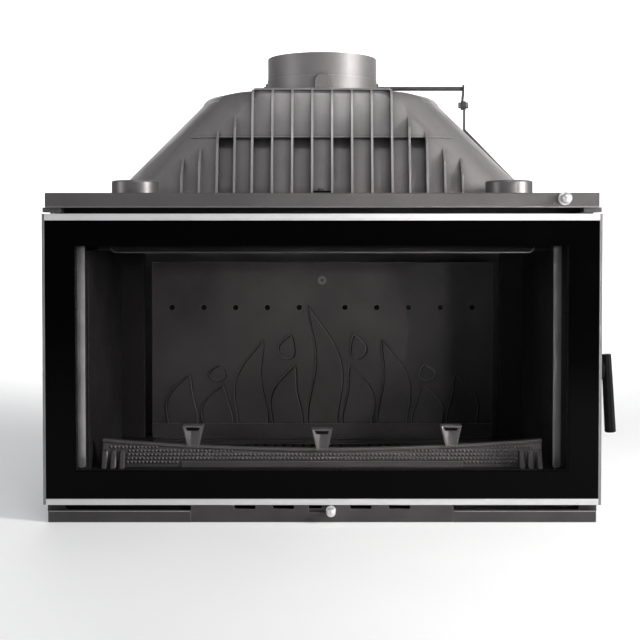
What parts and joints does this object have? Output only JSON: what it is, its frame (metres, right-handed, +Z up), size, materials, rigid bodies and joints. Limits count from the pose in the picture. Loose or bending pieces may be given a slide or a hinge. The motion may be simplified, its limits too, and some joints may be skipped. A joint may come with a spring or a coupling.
{
  "type": "fireplace insert",
  "caption": "Cast-iron fireplace insert with a wide glazed door, ribbed smoke hood, round flue collar with damper linkage, air slide and log guard.",
  "frame": {"origin": "on the floor plane, under the axis of the flue collar", "axes": "+X to the right along the door, +Y to the back, +Z up along the flue axis"},
  "size_m": [0.95, 0.4523, 0.7976],
  "materials": {
    "grey_casting": "satin grey coat",
    "dark_casting": "matt dark coat",
    "inner_casting": "matt",
    "bright_steel": "bright",
    "plain_steel": "plain",
    "polished_knob": "polished",
    "frame_paint": "matt black",
    "sheet": "grey sheet",
    "clear_glass": "clear with a black print",
    "rope": "woven glass rope",
    "handle_black": "satin black"
  },
  "bodies": {
    "body": {"base_casting": "dark_casting", "side_wall_left": "dark_casting", "side_wall_right": "dark_casting", "back_wall": "dark_casting", "front_frame": "dark_casting", "top_plate": "dark_casting", "hearth_plate": "inner_casting", "grate": "inner_casting", "ash_pan": "sheet", "air_inlet_plate": "dark_casting", "lower_hinge_lugs": "dark_casting", "upper_hinge_lugs": "dark_casting", "hinge_pins": "plain_steel", "striker_pin": "plain_steel", "side_liner_left": "inner_casting", "side_liner_right": "inner_casting", "corner_post_left": "inner_casting", "corner_post_right": "inner_casting", "fireback": "inner_casting", "fireback_screw": "plain_steel", "fireback_spacer": "dark_casting", "baffle": "inner_casting", "air_deflector": "inner_casting", "log_guard": "inner_casting", "guard_cups": "grey_casting", "hood": "grey_casting", "flue_seat": "grey_casting", "hood_clamp": "grey_casting", "clamp_bolt": "plain_steel", "cap_left": "grey_casting", "cap_right": "grey_casting", "flue_collar": "grey_casting", "damper_washer": "bright_steel"},
    "door": {"door_frame": "frame_paint", "door_glass": "clear_glass", "glass_gasket": "rope", "door_rope": "rope", "door_trim_top": "bright_steel", "door_trim_bottom": "bright_steel", "door_cheek_left": "plain_steel", "door_cheek_right": "plain_steel"},
    "handle": {"handle_spindle": "plain_steel", "handle_hub": "handle_black", "handle_grip": "handle_black", "latch_hook": "plain_steel"},
    "damper": {"damper_flap": "grey_casting", "damper_shaft": "plain_steel", "damper_crank": "plain_steel"},
    "damper_pull": {"pull_rod": "plain_steel", "crank_screw": "plain_steel", "crank_nut": "plain_steel", "damper_knob": "polished_knob"},
    "air_control": {"air_slide": "sheet", "air_stem": "plain_steel", "air_knob": "polished_knob"}
  },
  "joints": [
    {"name": "door_swing", "type": "hinge", "parent": "body", "child": "door", "pos_m": [-0.447, -0.2258, 0.269], "axis": [0, 0, -1], "range_deg": [0, 115]},
    {"name": "handle_turn", "type": "hinge", "parent": "door", "child": "handle", "pos_m": [0.4639, -0.226, 0.251], "axis": [-1, 0, 0], "range_deg": [-15, 45]},
    {"name": "damper_slide", "type": "slide", "parent": "body", "child": "damper_pull", "axis": [0, -1, 0], "range_m": [0, 0.0396]},
    {"name": "damper_turn", "type": "hinge", "parent": "body", "child": "damper", "pos_m": [0, 0, 0.7453], "axis": [-1, 0, 0], "range_deg": [0, 70]},
    {"name": "air_slide_move", "type": "slide", "parent": "body", "child": "air_control", "axis": [1, 0, 0], "range_m": [-0.032, 0.003]}
  ],
  "couplings": [
    {"joint": "damper_turn", "follows": "damper_slide", "rad_per_m": 30.8}
  ]
}
